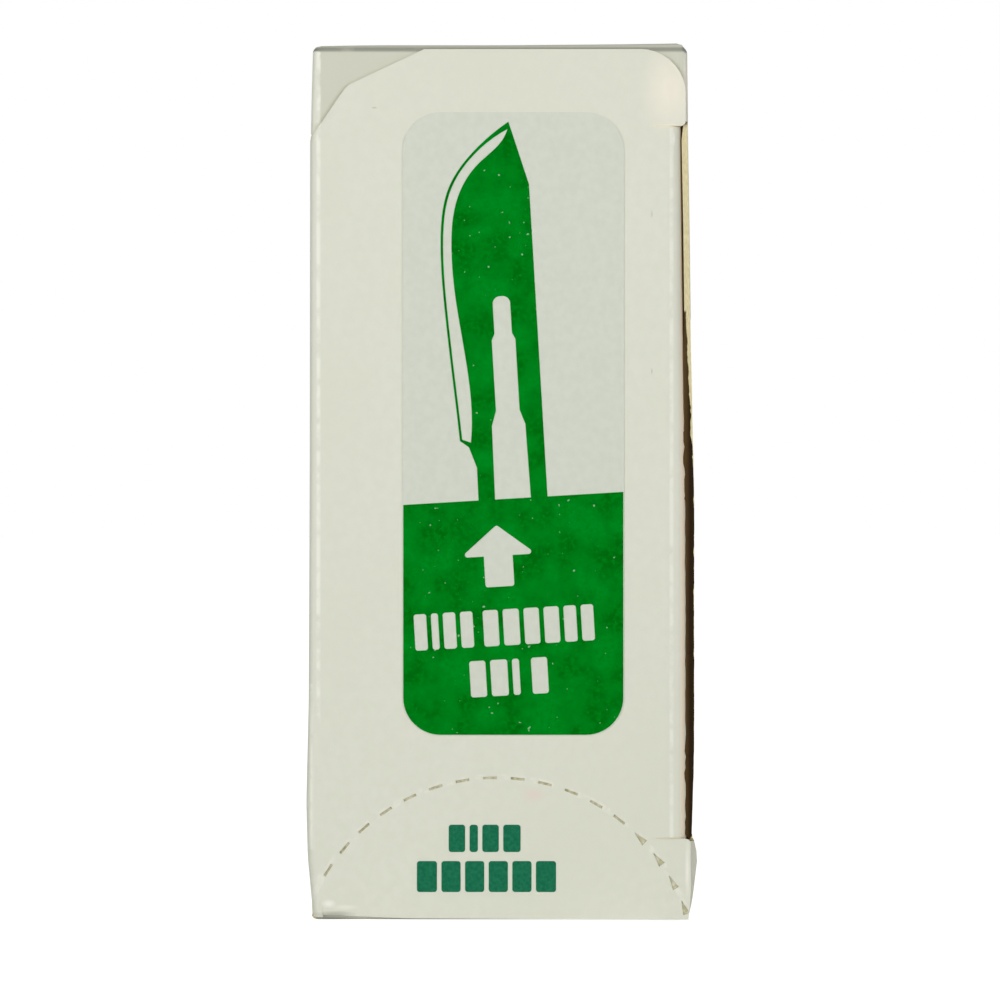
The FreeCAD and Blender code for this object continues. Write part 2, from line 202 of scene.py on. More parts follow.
def round_off(piece, centre, radius, axis, first, last, where, cuts):
    """Round a corner with a fan of straight trims. Angle 0 is up, and 90 is towards the axis."""
    for index in range(cuts):
        angle = math.radians(first + (last - first) * index / (cuts - 1))
        away = AXES["z"] * math.cos(angle) + AXES[axis] * math.sin(angle)
        trim(piece, Vector(centre) + away * radius, away, where)


def smooth_push(piece, where, reach, y):
    """Push the picked points in or out, and let the sheet around them give way within a reach."""
    pick(piece, "VERT", where)
    bpy.ops.transform.translate(value=AXES["y"] * y * MM, use_proportional_edit=True,
                                proportional_edit_falloff="SMOOTH", proportional_size=reach * MM)


def along(rows, height):
    """Value at a height between the rows of a table, whose first row is the highest."""
    for (upper, above), (lower, below) in zip(rows, rows[1:]):
        if lower <= height <= upper:
            return below + (above - below) * (height - lower) / (upper - lower)
    return rows[0][1] if height > rows[0][0] else rows[-1][1]


def bow(piece, rows, where, direction, ruler="z"):
    """Move the picked points row by row, by what the table gives for their place on the ruler."""
    mesh = bmesh.from_edit_mesh(piece.data)
    levels = sorted({round(getattr(v.co, ruler) / MM, 3) for v in mesh.verts if where(v.co / MM)})
    for level in levels:
        pick(piece, "VERT", lambda p: where(p) and near(getattr(p, ruler), level, 0.0015))
        shift(**{direction: along(rows, level)})


def spread(start, end, step):
    """Evenly spaced values from start up to end, about a step apart."""
    count = round((end - start) / step)
    return [start + (end - start) * index / count for index in range(count + 1)]


def mend(piece):
    """Merge doubled points and turn all faces outwards."""
    bpy.ops.mesh.select_all(action="SELECT")
    bpy.ops.mesh.remove_doubles(threshold=MERGE)
    bpy.ops.mesh.normals_make_consistent(inside=False)
    print(piece.name, "faces", len(bmesh.from_edit_mesh(piece.data).faces))


def report_box(piece):
    """Print a finished piece's lowest and highest corner in millimetres."""
    for word, limit in (("from", min), ("to", max)):
        print(piece.name, word,
              [round(limit(v.co[i] for v in piece.data.vertices) / MM, 2) for i in range(3)])


print("helpers ready")

# %% [markdown]
# The materials come first, so that each sheet can be given them as it is made. Folding board
# has three looks. Its face is coated white and slightly yellowed, smooth to the touch. Its back
# is uncoated and grey-brown, with stray fibres of the old paper it was made from. Its cut edge
# shows the cream middle plies. One function turns a hex colour to Blender's linear values, and
# one adds a node with its settings and links.

# %% Helpers for materials


def colour(hex_value):
    """Linear colour with alpha from an sRGB hex value."""
    channels = [int(hex_value[i:i + 2], 16) / 255 for i in (0, 2, 4)]
    linear = [c / 12.92 if c <= 0.04045 else ((c + 0.055) / 1.055) ** 2.4 for c in channels]
    return (*linear, 1.0)


def add_node(tree, kind, inputs=None, **settings):
    """Add a node, set what it is, and fill its inputs or link them to other nodes."""
    made = tree.nodes.new(kind)
    for name, value in settings.items():
        setattr(made, name, value)
    for name, value in (inputs or {}).items():
        if isinstance(value, bpy.types.Node):
            value = next(output for output in value.outputs if output.enabled)
        if isinstance(value, bpy.types.NodeSocket):
            tree.links.new(value, made.inputs[name])
        else:
            made.inputs[name].default_value = value
    return made


def new_material(name, roughness, specular=0.5):
    """A material with a Principled shader, and the object coordinates of its piece."""
    material = bpy.data.materials.new(name)
    material.use_nodes = True
    tree = material.node_tree
    shader = tree.nodes["Principled BSDF"]
    shader.inputs["Roughness"].default_value = roughness
    shader.inputs["Specular IOR Level"].default_value = specular
    place = add_node(tree, "ShaderNodeTexCoord").outputs["Object"]
    return material, tree, shader, place


def paint(tree, shader, finish):
    """Make a finish the shader's own colour."""
    tree.links.new(next(output for output in finish.outputs if output.enabled),
                   shader.inputs["Base Color"])


print("material helpers ready")

# %% [markdown]
# Paper is never one flat colour. Four effects return on this carton: patches of a real size,
# strips that run along an edge or a fold, round spots, and the fine tooth that one feels with a
# fingertip. Each effect is worked out in millimetres and gives a mask, and lay_tint lays one tint
# over the finish where all its masks let it through. Some strips and spots carry painted
# highlights and shade.

# %% Patches, strips, round spots, tints and tooth


def mottle(tree, place, size, low=0.35, high=0.65, detail=3.0, stretch=(1, 1, 1)):
    """Mask of uneven patches that are about a size across."""
    grain = add_node(tree, "ShaderNodeMapping", {"Vector": place, "Scale": stretch})
    patches = add_node(tree, "ShaderNodeTexNoise",
                       {"Vector": grain, "Scale": 1 / (size * MM), "Detail": detail})
    return add_node(tree, "ShaderNodeMapRange",
                    {"Value": patches, "From Min": low, "From Max": high}, clamp=True)


def edge_of(tree, value, outside, inside):
    """Mask that grows from 0 outside an edge to 1 inside it."""
    return add_node(tree, "ShaderNodeMapRange", {
        "Value": value, "From Min": outside * MM, "From Max": inside * MM}, clamp=True)


def overlap(tree, *masks):
    """Mask of the places that all the given masks cover."""
    shared = masks[0]
    for mask in masks[1:]:
        shared = add_node(tree, "ShaderNodeMath", {0: shared, 1: mask}, operation="MULTIPLY")
    return shared


def strip(tree, value, start, end, blur):
    """Mask of the strip between two places, with blurred sides."""
    return overlap(tree, edge_of(tree, value, start - blur, start),
                   edge_of(tree, value, end + blur, end))


def round_spot(tree, place, x, z, half_width, half_height):
    """Soft elliptic mask on the lid's face."""
    centred = add_node(tree, "ShaderNodeMapping", {
        "Vector": place, "Location": (-x / half_width, 0, -z / half_height),
        "Scale": (1 / (half_width * MM), 0, 1 / (half_height * MM))})
    reach = add_node(tree, "ShaderNodeVectorMath", {0: centred}, operation="LENGTH")
    return add_node(tree, "ShaderNodeMapRange", {
        "Value": reach, "From Min": 1.0, "From Max": 0.2}, clamp=True)


def lay_tint(tree, finish, tint, *masks):
    """Lay a tint over a finish where all the masks let it through."""
    return add_node(tree, "ShaderNodeMix", {
        "Factor": overlap(tree, *masks), "A": finish, "B": colour(tint)}, data_type="RGBA")


def tooth(tree, shader, place, size, detail, height):
    """Fine roughness that one can feel, with its height in millimetres."""
    fibres = add_node(tree, "ShaderNodeTexNoise", {
        "Vector": place, "Scale": 1 / (size * MM), "Detail": detail})
    relief = add_node(tree, "ShaderNodeBump", {"Height": fibres, "Distance": height * MM})
    tree.links.new(relief.outputs["Normal"], shader.inputs["Normal"])


print("effects ready")

# %% [markdown]
# The coated face carries the wear of handling, and painted highlights and shade as well. Small
# marks, spots of painted light and shade and the bright fold crests are listed by their place on
# the face, so that one loop each can lay them on. A dark band sits just behind the top fold: grime
# that is never wiped off, and painted shade where the bend turns up away from the lamps.

# %% Coated face of the board
# Small marks, painted highlights and painted shade: place, half width and half height in
# millimetres, and their tint.
MARKS_AND_PAINTED_LIGHT = [(16.55, 77.8, 0.13, 0.5, "C3C5B6"), (16.55, 60.5, 0.12, 0.45, "BDBFB0"),
          (-14.0, 89.5, 0.4, 0.14, "BFC1B1"), (3.5, 13.9, 1.6, 1.0, "DCD3C6"),
          # Painted highlight along the upper slit's cream cut edge, painted shade along the lower
          # slit.
          (18.3, 87.5, 2.4, 0.22, "ECE6CC"), (18.8, 9.1, 2.5, 0.26, "D2CEB8"),
          # Painted highlights on the knocked lower left corner, and painted shade along the foot
          # below it.
          (-19.0, 1.9, 0.9, 0.55, "ECECE1"), (-19.9, 4.6, 0.5, 0.8, "E6E7DA"),
          (-17.2, 1.5, 1.7, 0.35, "E4E4D7"), (-18.4, 0.7, 2.6, 0.45, "B4B5A9"),
          # Painted highlight where the lower ear bends away; painted shade in the crushed top right
          # corner.
          (20.45, 5.6, 0.3, 3.6, "E9E7DA"), (20.2, 96.0, 0.7, 0.5, "8E8F84"),
          # A lighter patch on the upper ear; a painted highlight on the tuck's crest below the
          # slit.
          (18.6, 91.5, 3.6, 5.5, "E9E4D4"), (18.9, 86.1, 0.3, 0.9, "EFF0E5"),
          # Painted shade along the lid's foot at the lower left.
          (-18.6, 0.1, 3.6, 0.5, "A1A296")]
# Fold crests, rubbed bright and with a painted highlight along them: place, width, lower and
# upper end, how unbroken the line is (lower is fuller), and their tint. The last one is a painted
# reflection of the cream edge and manila inside, at the far end of the tuck's bend.
CRESTS_RUBBED_AND_LIT = [(-20.15, 0.2, 22.0, 95.6, 0.44, "E8E9DC"), (-20.75, 0.2, 8.0, 86.0, 0.3, "DADBCE"),
           (-20.95, 0.08, 8.0, 26.0, 0.4, "E6E7D8"), (18.72, 0.2, 9.3, 87.2, 0.44, "E5E6D9"),
           (19.95, 0.25, 9.3, 87.2, 0.15, "EADBC6")]
# The cut of the tear tab raised a fine ridge, with a painted highlight along it: the move that
# centres it, and its two radii.
TAB_CENTRE = (0.51, 0, 6.256)
TAB_RIDGE = (21.85, 22.35)


def coated_board():
    """White clay-coated board face, yellowed and rubbed, with painted highlights and shade."""
    material, tree, shader, place = new_material("coated_folding_board", 0.55, 0.2)
    axes = add_node(tree, "ShaderNodeSeparateXYZ", {"Vector": place})
    across, back, up = (axes.outputs[name] for name in "XYZ")
    in_front = edge_of(tree, back, FACE + 2.6, FACE + 2.2)
    behind_lid = edge_of(tree, back, FACE + 0.3, FACE + 0.42)
    paper = add_node(tree, "ShaderNodeMix", {
        "Factor": mottle(tree, place, 22.0), "A": colour("DADBCD"), "B": colour("D8D9C9")},
        data_type="RGBA")
    paper = lay_tint(tree, paper, "D7D8C9", mottle(tree, place, 1.1, detail=5.0))
    for x, z, half_width, half_height, tint in MARKS_AND_PAINTED_LIGHT:
        mark = round_spot(tree, place, x, z, half_width, half_height)
        paper = lay_tint(tree, paper, tint, mark, in_front)
    # Painted shade on the top dust flap where it lies behind the lid.
    paper = lay_tint(tree, paper, "CBCCBC", behind_lid, strip(tree, across, -19.9, 20.0, 0.2),
                  strip(tree, up, 87.6, 99.0, 0.1), in_front)
    # Dark band at the top fold: part grime, part painted shade where the bend faces up.
    paper = lay_tint(tree, paper, "96978B", strip(tree, up, 95.9, 96.15, 0.25), behind_lid,
                  mottle(tree, place, 3.0, 0.1, 0.45, 5.0), in_front)
    for x, width, low_end, high_end, broken, tint in CRESTS_RUBBED_AND_LIT:
        paper = lay_tint(tree, paper, tint, strip(tree, across, x - width / 2, x + width / 2, 0.22),
                      mottle(tree, place, 1.5, broken - 0.12, broken + 0.12, 6.0),
                      strip(tree, up, low_end, high_end, 0.2), in_front)
    centred = add_node(tree, "ShaderNodeMapping", {
        "Vector": place, "Location": Vector(TAB_CENTRE) * MM, "Scale": (1, 0, 1)})
    from_centre = add_node(tree, "ShaderNodeVectorMath", {0: centred}, operation="LENGTH")
    # Painted highlight along the ridge of the tear tab's cut.
    paper = lay_tint(tree, paper, "E0E0D2", strip(tree, from_centre, *TAB_RIDGE, 0.15), in_front,
                  mottle(tree, place, 0.9, 0.45, 0.6))
    paint(tree, shader, paper)
    tooth(tree, shader, place, 0.35, 4.0, 0.002)
    return material


# %% Uncoated back and cut edge of the board
def uncoated_board():
    """Manila back of the board, unbleached, with fibres of the old paper it was made from."""
    material, tree, shader, place = new_material("uncoated_board_back", 0.9, 0.2)
    axes = add_node(tree, "ShaderNodeSeparateXYZ", {"Vector": place})
    board = add_node(tree, "ShaderNodeMix", {
        "Factor": mottle(tree, place, 6.0, 0.0, 1.0), "A": colour("BDAC87"),
        "B": colour("B0A07A")}, data_type="RGBA")
    board = lay_tint(tree, board, "7F7152", mottle(tree, place, 0.5, 0.62, 0.72, 2.0, (1, 0.35, 1)))
    shreds = add_node(tree, "ShaderNodeTexNoise", {
        "Vector": place, "Scale": 1 / (2.5 * MM), "Detail": 4.0})
    ragged = add_node(tree, "ShaderNodeMath", {0: shreds, 1: 0.03, 2: axes.outputs["Z"]},
                      operation="MULTIPLY_ADD")
    # Painted shade: the inside of the right wall darkens towards its front, deep in the gap by the
    # tuck.
    board = lay_tint(tree, board, "8F6E3E", strip(tree, ragged, 25.4, 64.0, 2.0),
                  strip(tree, axes.outputs["X"], 20.4, 30.0, 0.3),
                  edge_of(tree, axes.outputs["Y"], FACE + 16, FACE + 7))
    paint(tree, shader, board)
    tooth(tree, shader, place, 0.25, 5.0, 0.02)
    return material


def cut_board():
    """Cut edge of the board: cream middle plies, and painted shade in dark brown on the frayed
    part.
    """
    material, tree, shader, place = new_material("cut_board_edge", 0.85, 0.1)
    axes = add_node(tree, "ShaderNodeSeparateXYZ", {"Vector": place})
    across, up = axes.outputs["X"], axes.outputs["Z"]
    plies = add_node(tree, "ShaderNodeTexNoise", {
        "Vector": add_node(tree, "ShaderNodeMapping", {"Vector": place, "Scale": (6, 1, 1)}),
        "Scale": 1 / (0.6 * MM), "Detail": 4.0})
    cream = add_node(tree, "ShaderNodeMix", {
        "Factor": add_node(tree, "ShaderNodeMapRange", {
            "Value": plies, "From Min": 0.35, "From Max": 0.65}, clamp=True),
        "A": colour("DDD3AC"), "B": colour("C9BC90")}, data_type="RGBA")
    reach = add_node(tree, "ShaderNodeMapRange", {
        "Value": up, "From Min": 66.5 * MM, "From Max": 47.0 * MM,
        "To Min": 20.12 * MM, "To Max": 21.02 * MM})
    shreds = add_node(tree, "ShaderNodeTexNoise", {
        "Vector": place, "Scale": 1 / (1.4 * MM), "Detail": 5.0})
    ragged = add_node(tree, "ShaderNodeMath", {0: shreds, 1: 0.5 * MM, 2: reach},
                      operation="MULTIPLY_ADD")
    inside = add_node(tree, "ShaderNodeMath", {0: ragged, 1: across}, operation="SUBTRACT")
    slant = add_node(tree, "ShaderNodeMath", {0: across, 1: -1.5, 2: up}, operation="MULTIPLY_ADD")
    # Painted shade: the frayed edge in the gap beside the tuck is dark brown, darker outwards.
    painted_gap_shade = add_node(tree, "ShaderNodeMix", {
        "Factor": edge_of(tree, across, 20.3, 20.8), "A": colour("4D3B20"), "B": colour("2A1C0C")},
        data_type="RGBA")
    frayed = overlap(tree, edge_of(tree, inside, -0.03, 0.03), edge_of(tree, slant, -22.4, -22.1),
                     edge_of(tree, up, 67.3, 67.0), edge_of(tree, across, 19.6, 19.9))
    edge = add_node(tree, "ShaderNodeMix", {"Factor": frayed, "A": cream, "B": painted_gap_shade},
                    data_type="RGBA")
    paint(tree, shader, edge)
    relief = add_node(tree, "ShaderNodeBump", {"Height": plies, "Distance": 0.03 * MM})
    tree.links.new(relief.outputs["Normal"], shader.inputs["Normal"])
    return material


BOARD = [coated_board(), uncoated_board(), cut_board()]
print("board materials", [material.name for material in BOARD])

# %% [markdown]
# The camera stands straight and level in front of the lid. A close, wide lens would show the
# side walls too, so a longer one is used from a bit away, as for a catalogue picture.

# %% Camera
DISTANCE = 300.0
VIEW_CENTRE = Vector((-0.16, FACE, 46.33))
camera_data = bpy.data.cameras.new("camera")
camera_data.lens = 98.15
camera_data.sensor_width = 36.0
camera_data.clip_start = 0.01
camera = bpy.data.objects.new("camera", camera_data)
bpy.context.scene.collection.objects.link(camera)
camera.location = (VIEW_CENTRE - AXES["y"] * DISTANCE) * MM
camera.rotation_euler = (math.radians(90), 0, 0)
bpy.context.scene.camera = camera
print("camera at", [round(v / MM, 1) for v in camera.location], "mm")

# %% [markdown]
# Two large soft lamps stand left and right of the camera at nearly the same strength, both well
# off the line to the lid, so nothing shines straight back. They light the face evenly and leave
# every fold that turns away a little greyer. The table is white and keeps a soft shadow round
# the carton's foot. The world is plain white for the camera and dimmer for the card.

# %% Lamps, table and world


def soft_lamp(name, azimuth, height, distance, size, watts):
    """A square lamp aimed at the carton. Azimuth 0 is the front and 90 the right side."""
    lamp_data = bpy.data.lights.new(name, "AREA")
    lamp_data.size = size * MM
    lamp_data.energy = watts
    lamp = bpy.data.objects.new(name, lamp_data)
    bpy.context.scene.collection.objects.link(lamp)
    side, up = math.radians(azimuth), math.radians(height)
    away = Vector((math.sin(side) * math.cos(up), -math.cos(side) * math.cos(up), math.sin(up)))
    lamp.location = (VIEW_CENTRE + away * distance) * MM
    lamp.rotation_euler = away.to_track_quat("Z", "Y").to_euler()


soft_lamp("key_lamp", -33, 8, 700, 380, 2.42)
soft_lamp("fill_lamp", 35, 6, 700, 380, 2.03)

bpy.ops.object.select_all(action="DESELECT")
bpy.ops.mesh.primitive_circle_add(vertices=64, radius=3.0, fill_type="NGON", location=(0, 0, 0))
table = bpy.context.object
table.name = "table"
table_white, tree, shader, place = new_material("white_laminate", 0.6, 0.2)
speckle = add_node(tree, "ShaderNodeMix", {
    "Factor": mottle(tree, place, 4.0, 0.0, 1.0), "A": colour("F4F4F2"), "B": colour("F1F1EF")},
    data_type="RGBA")
paint(tree, shader, speckle)
sight = add_node(tree, "ShaderNodeLightPath").outputs["Is Camera Ray"]
lift = add_node(tree, "ShaderNodeMath", {0: sight, 1: 0.8}, operation="MULTIPLY")
shader.inputs["Emission Color"].default_value = (1, 1, 1, 1)
tree.links.new(lift.outputs["Value"], shader.inputs["Emission Strength"])
table.data.materials.append(table_white)

world = bpy.data.worlds.new("studio")
bpy.context.scene.world = world
world.use_nodes = True
tree = world.node_tree
rays = add_node(tree, "ShaderNodeLightPath")
level = add_node(tree, "ShaderNodeMapRange", {"Value": rays.outputs["Is Camera Ray"], "To Min": 0.3,
                                              "To Max": 1.0})
tree.links.new(level.outputs["Result"], tree.nodes["Background"].inputs["Strength"])
tree.nodes["Background"].inputs["Color"].default_value = (1, 1, 1, 1)
bpy.context.scene.view_settings.view_transform = "Standard"
print("stage ready")

# %% [markdown]
# Now the carton's sheet. It starts as the left wall, and each next wall is pushed out of the
# last one's edge, the way the blank lies on the table: left wall, bottom, right wall, top and the
# narrow seam flap that gets glued inside the left wall. Creased board never folds sharp, so the
# long edges are rounded.

# %% Walls of the sleeve
SEAM = LEFT + CARD + 0.03
WALL_END = BACK - END_BEND
left_height = TOP - SEAM_DROP
carton = new_sheet("carton_sheet", (LEFT, (WALL_EDGE + WALL_END) / 2, left_height / 2),
                   WALL_END - WALL_EDGE, left_height, (90, 0, -90))
for side, level, move in (("z", 0.0, {"x": RIGHT - LEFT}), ("x", RIGHT, {"z": TOP}),
                          ("z", TOP, {"x": SEAM - RIGHT}), ("x", SEAM, {"z": -SEAM_FLAP})):
    pick(carton, "EDGE", lambda p: near(getattr(p, side), level))
    push_out(**move)
for corner_x, corner_z in ((LEFT, 0.0), (RIGHT, 0.0), (RIGHT, TOP), (SEAM, TOP)):
    pick(carton, "EDGE", lambda p: near(p.x, corner_x) and near(p.z, corner_z))
    bpy.ops.mesh.bevel(offset=LONG_BEND * MM, segments=4, affect="EDGES")
print("sleeve faces", len(bmesh.from_edit_mesh(carton.data).faces))

# %% [markdown]
# At both ends the walls fold over. In front only the top and the bottom have flaps, the dust
# flaps, which close the corners behind the lid. At the back all four fold in and are glued, the
# right wall's panel outermost. Each fold is a spin of the wall's edge, and the flap is pushed
# out of the bend. Where a dust flap passes the lid's tuck it is narrower than at its root.

# %% Flaps at both ends


def end_fold(piece, axis, level, edge, pull, sign):
    """Fold a wall over at one end. Axis and level name the wall, and the edge is its end in Y."""
    ahead = 1 if edge > 0 else -1
    pick(piece, "EDGE", lambda p: near(getattr(p, axis), level) and near(p.y, edge))
    shift(y=-ahead * pull)
    start = edge - ahead * pull
    middle = {"y": start, axis: level - sign * END_BEND}
    centre = (middle.get("x", 0), middle["y"], middle.get("z", 0))
    turn = 90 * sign * ahead
    if axis == "z":
        fold_over(centre, "x", -turn)
    else:
        fold_over(centre, "z", turn)
    return start + ahead * END_BEND


def dust_flap(piece, front, top):
    """The flap on the top or the bottom wall, at the front or at the back."""
    level, sign = (TOP, 1) if top else (0.0, -1)
    edge = WALL_EDGE if front else WALL_END
    plane = end_fold(piece, "z", level, edge, END_BEND, sign)
    last = END_BEND
    if front:
        pick(piece, "VERT", lambda p: (near(p.y, plane) and near(p.z, level - sign * END_BEND)
                                       and p.x > 0))
        shift(x=LONG_BEND - END_BEND)
    lock = TOP - UPPER_SLIT if top else LOWER_SLIT
    if front:
        reach = TOP_FLAP if top else BOTTOM_FLAP
        steps = [(lock - 0.8, 0, 0), (lock, 0, -2.0), (reach, 1.6, -1.0)]
    else:
        reach = BACK_FLAP
        steps = [(reach, 2.0, -2.0)]
    for drop, left_in, right_in in steps:
        height = level - sign * last
        pick(piece, "EDGE", lambda p: near(p.y, plane) and near(p.z, height))
        push_out(z=-sign * (drop - last))
        height = level - sign * drop
        pick(piece, "VERT", lambda p: near(p.y, plane) and near(p.z, height) and p.x < 0)
        shift(x=left_in)
        pick(piece, "VERT", lambda p: near(p.y, plane) and near(p.z, height) and p.x > 0)
        shift(x=right_in)
        last = drop
    pick(piece, "VERT", lambda p: near(p.y, plane) and near(p.z, level - sign * reach))
    bpy.ops.mesh.bevel(offset=FLAP_CORNER * MM, segments=6, affect="VERTICES")


for front in (True, False):
    for top in (True, False):
        dust_flap(carton, front, top)
for side, sign, pull, reach in ((LEFT, -1, CARD, INNER_PANEL), (RIGHT, 1, 0.0, OUTER_PANEL)):
    plane = end_fold(carton, "x", side, WALL_END, pull, sign)
    pick(carton, "EDGE", lambda p: near(p.y, plane) and near(p.x, side - sign * END_BEND))
    push_out(x=-sign * (reach - END_BEND))
print("sheet faces", len(bmesh.from_edit_mesh(carton.data).faces))

# %% [markdown]
# Beside the dust flaps the ends of the right wall and of the seam flap fold round too, as narrow
# lips. Board can't bend two ways in one place, so a small crushed cap is left where three folds
# meet. The cap is one face over the open loop of edges, poked to a point in its middle.

# %% Corner folds of the front
def edge_lip(piece, edge_x, inward, bend, low_end, high_end):
    """Round a wall's front edge over to meet the dust flap beside it."""
    def front_edge(p):
        return near(p.x, edge_x) and near(p.y, WALL_EDGE) and low_end - 0.02 < p.z < high_end + 0.02

    pick(piece, "EDGE", front_edge)
    shift(y=bend)
    fold_over((edge_x + inward * bend, WALL_EDGE + bend, 0), "z", 90 * inward)


def close_corner(piece, corner_x, corner_z):
    """Close the gap between a dust flap's bend, the lip and the long edge with a small cap."""
    def on_long_edge(p):
        return (near(p.x, corner_x, LONG_BEND - 0.01) and near(p.z, corner_z, LONG_BEND - 0.01)
                and near(p.y, WALL_EDGE))

    pick(piece, "VERT", on_long_edge)
    shift(y=END_BEND)
    bpy.ops.mesh.select_mode(type="EDGE")
    bpy.ops.mesh.select_all(action="DESELECT")
    mesh = bmesh.from_edit_mesh(piece.data)
    reach = END_BEND + 0.01
    for edge in mesh.edges:
        ends = [corner.co / MM for corner in edge.verts]
        close = all(near(p.x, corner_x, reach) and near(p.z, corner_z, reach)
                    and p.y < WALL_EDGE + reach for p in ends)
        inside = all(near(p.x, corner_x, reach) and p.y < WALL_EDGE + 0.005 for p in ends)
        if edge.is_boundary and close and not inside:
            edge.select_set(True)
    bmesh.update_edit_mesh(piece.data)
    bpy.ops.mesh.edge_face_add()
    bpy.ops.mesh.poke()


def in_right_band(p):
    """The front band of the right wall."""
    return near(p.x, RIGHT) and p.y < WALL_EDGE + FRONT_BAND + 0.02


score(carton, "y", [WALL_EDGE + FRONT_BAND, WALL_EDGE + 4.0, WALL_EDGE + 1.5],
      lambda p: near(p.x, RIGHT) and p.y < WALL_END + 0.02)
lip_ends = [LOWER_SLIT - 0.4, LOWER_SLIT, UPPER_SLIT + 0.2, UPPER_SLIT + 0.6]
score(carton, "z", lip_ends, in_right_band)
edge_lip(carton, RIGHT, -1, END_BEND, LONG_BEND, lip_ends[0])
edge_lip(carton, RIGHT, -1, END_BEND, lip_ends[3], TOP - LONG_BEND)
edge_lip(carton, SEAM, 1, LONG_BEND, TOP - SEAM_FLAP, TOP - LONG_BEND)
close_corner(carton, RIGHT, TOP)
close_corner(carton, SEAM, TOP)
close_corner(carton, RIGHT, 0.0)
pick(carton, "VERT", lambda p: (p.x < LEFT + LONG_BEND - 0.01 and p.z < LONG_BEND - 0.01
                                and near(p.y, WALL_EDGE)))
shift(y=END_BEND)
print("sheet faces", len(bmesh.from_edit_mesh(carton.data).faces))

# %% [markdown]
# The front of the right wall is where this carton is worn. Somebody pulled the tuck out once too
# often: the wall bows outwards, and lower down its edge is frayed, and its inner plies flare
# inwards. So the band there gets closely spaced rows, and a table gives each row its own push.
# The flare follows once the card has its thickness.

# %% Bow and frayed edge of the right wall
# How far back the edge is frayed, and how far out the wall bows, each by height.
FRAY = [(66.0, 0.0), (64.4, 0.5), (61.0, 0.3), (57.8, 0.9), (56.8, 0.5), (54.0, 1.1), (47.0, 1.9),
        (43.7, 2.7), (42.6, 2.2), (30.0, 3.0), (17.0, 2.5), (9.1, 2.1)]
RIGHT_BOW = [(96.4, -0.45), (90.3, -0.4), (79.3, -0.2), (66.1, -0.02), (55.1, 0.22), (46.0, 0.42),
             (20.0, 0.42), (16.6, 0.36), (12.0, 0.22), (9.6, 0.14), (9.0, 0.25), (8.0, 0.5),
             (6.8, 0.68), (2.0, 0.1), (0.0, -0.4)]
rows = (spread(1.6, 7.6, 1.2) + spread(9.6, 66.6, 0.6) + spread(66.6, 86.0, 2.4)[1:]
        + spread(89.6, 95.0, 1.3))
score(carton, "z", rows, in_right_band)
random.seed(21)
shreds = [(height, random.uniform(0.0, 0.35) * min(1, along(FRAY, height)))
          for height in reversed(spread(9.6, 87.0, 0.6))] + [(9.5, 0.0)]
bow(carton, shreds, lambda p: near(p.x, RIGHT) and near(p.y, WALL_EDGE), "y")
bow(carton, [(UPPER_SLIT + 0.5, -0.04), (UPPER_SLIT + 0.3, -0.15), (LOWER_SLIT, -0.15), (8.6, 0.0)],
    lambda p: (near(p.x, RIGHT) and p.y < WALL_EDGE + 3.4
               and (p.y < WALL_EDGE + 1.4 or p.z < 66)), "x")
for share, depth in ((0.35, 8.1), (0.35, 4.1), (0.3, 3.7)):
    bow(carton, [(height, width * share) for height, width in RIGHT_BOW],
        lambda p: p.x > RIGHT - END_BEND - 0.72 and p.y < WALL_EDGE + depth, "x")
print("frayed rows", len(shreds))

# %% [markdown]
# The left wall loses the corner where the lid's own corner is cut. The front band is split off
# before the slanted cut, because a cut takes away every face that shares a point with what lies
# beyond it, and the large face of the wall has to stay. The two are merged again at the end.

# %% Cut corner and bow of the left wall
LEFT_BOW = [(96.4, 0.0), (87.0, -0.07), (50.0, -0.12), (24.0, -0.24), (13.0, -0.5), (7.0, -0.35),
            (0.0, 0.3)]
fold_top = HEAD - CUT_DROP
score(carton, "y", [WALL_EDGE + FRONT_BAND], lambda p: near(p.x, LEFT))
pick(carton, "FACE", lambda p: near(p.x, LEFT) and p.y < WALL_EDGE + FRONT_BAND + 0.02)
bpy.ops.mesh.split()
slice_flat((LEFT, WALL_EDGE, fold_top), Vector((0, -3.0, 8.0)).normalized(), cut_away=True)
pick(carton, "VERT", lambda p: near(p.x, LEFT) and near(p.y, WALL_EDGE))
shift(y=0.6)
score(carton, "y", [WALL_EDGE + 10.0, WALL_EDGE + 3.0], lambda p: near(p.x, LEFT))
score(carton, "z", spread(LONG_BEND, fold_top, 2.4)[1:-1],
      lambda p: near(p.x, LEFT) and p.y < WALL_EDGE + 10.02)
for share, depth in ((0.5, 9.9), (0.5, 2.9)):
    bow(carton, [(height, width * share) for height, width in LEFT_BOW],
        lambda p: p.x < LEFT + 0.02 and p.y < WALL_EDGE + depth, "x")
print("left fold ends at", round(fold_top, 2), "mm")

# %% Bow of the seam flap
SEAM_BOW = [(TOP, -0.25), (TOP - 0.6, -0.3), (TOP - 6.0, -0.45), (fold_top + 0.7, -0.52),
            (fold_top, -0.02), (TOP - SEAM_FLAP, -0.02)]
seam_end = TOP - SEAM_FLAP - 0.02


def in_seam_lip(p):
    """The seam flap's folded front edge."""
    return (SEAM - 0.02 < p.x < SEAM + LONG_BEND + 0.02 and p.y < WALL_EDGE + 2.6
            and p.z > seam_end)


score(carton, "y", [WALL_EDGE + 2.5], lambda p: near(p.x, SEAM) and p.z > seam_end)
score(carton, "z", [fold_top, fold_top + 0.7, TOP - 6.0], in_seam_lip)
bow(carton, SEAM_BOW, lambda p: (in_seam_lip(p) and p.x < SEAM + LONG_BEND - 0.02
                                 and p.y < WALL_EDGE + 2.4), "x")
print("sheet faces", len(bmesh.from_edit_mesh(carton.data).faces))

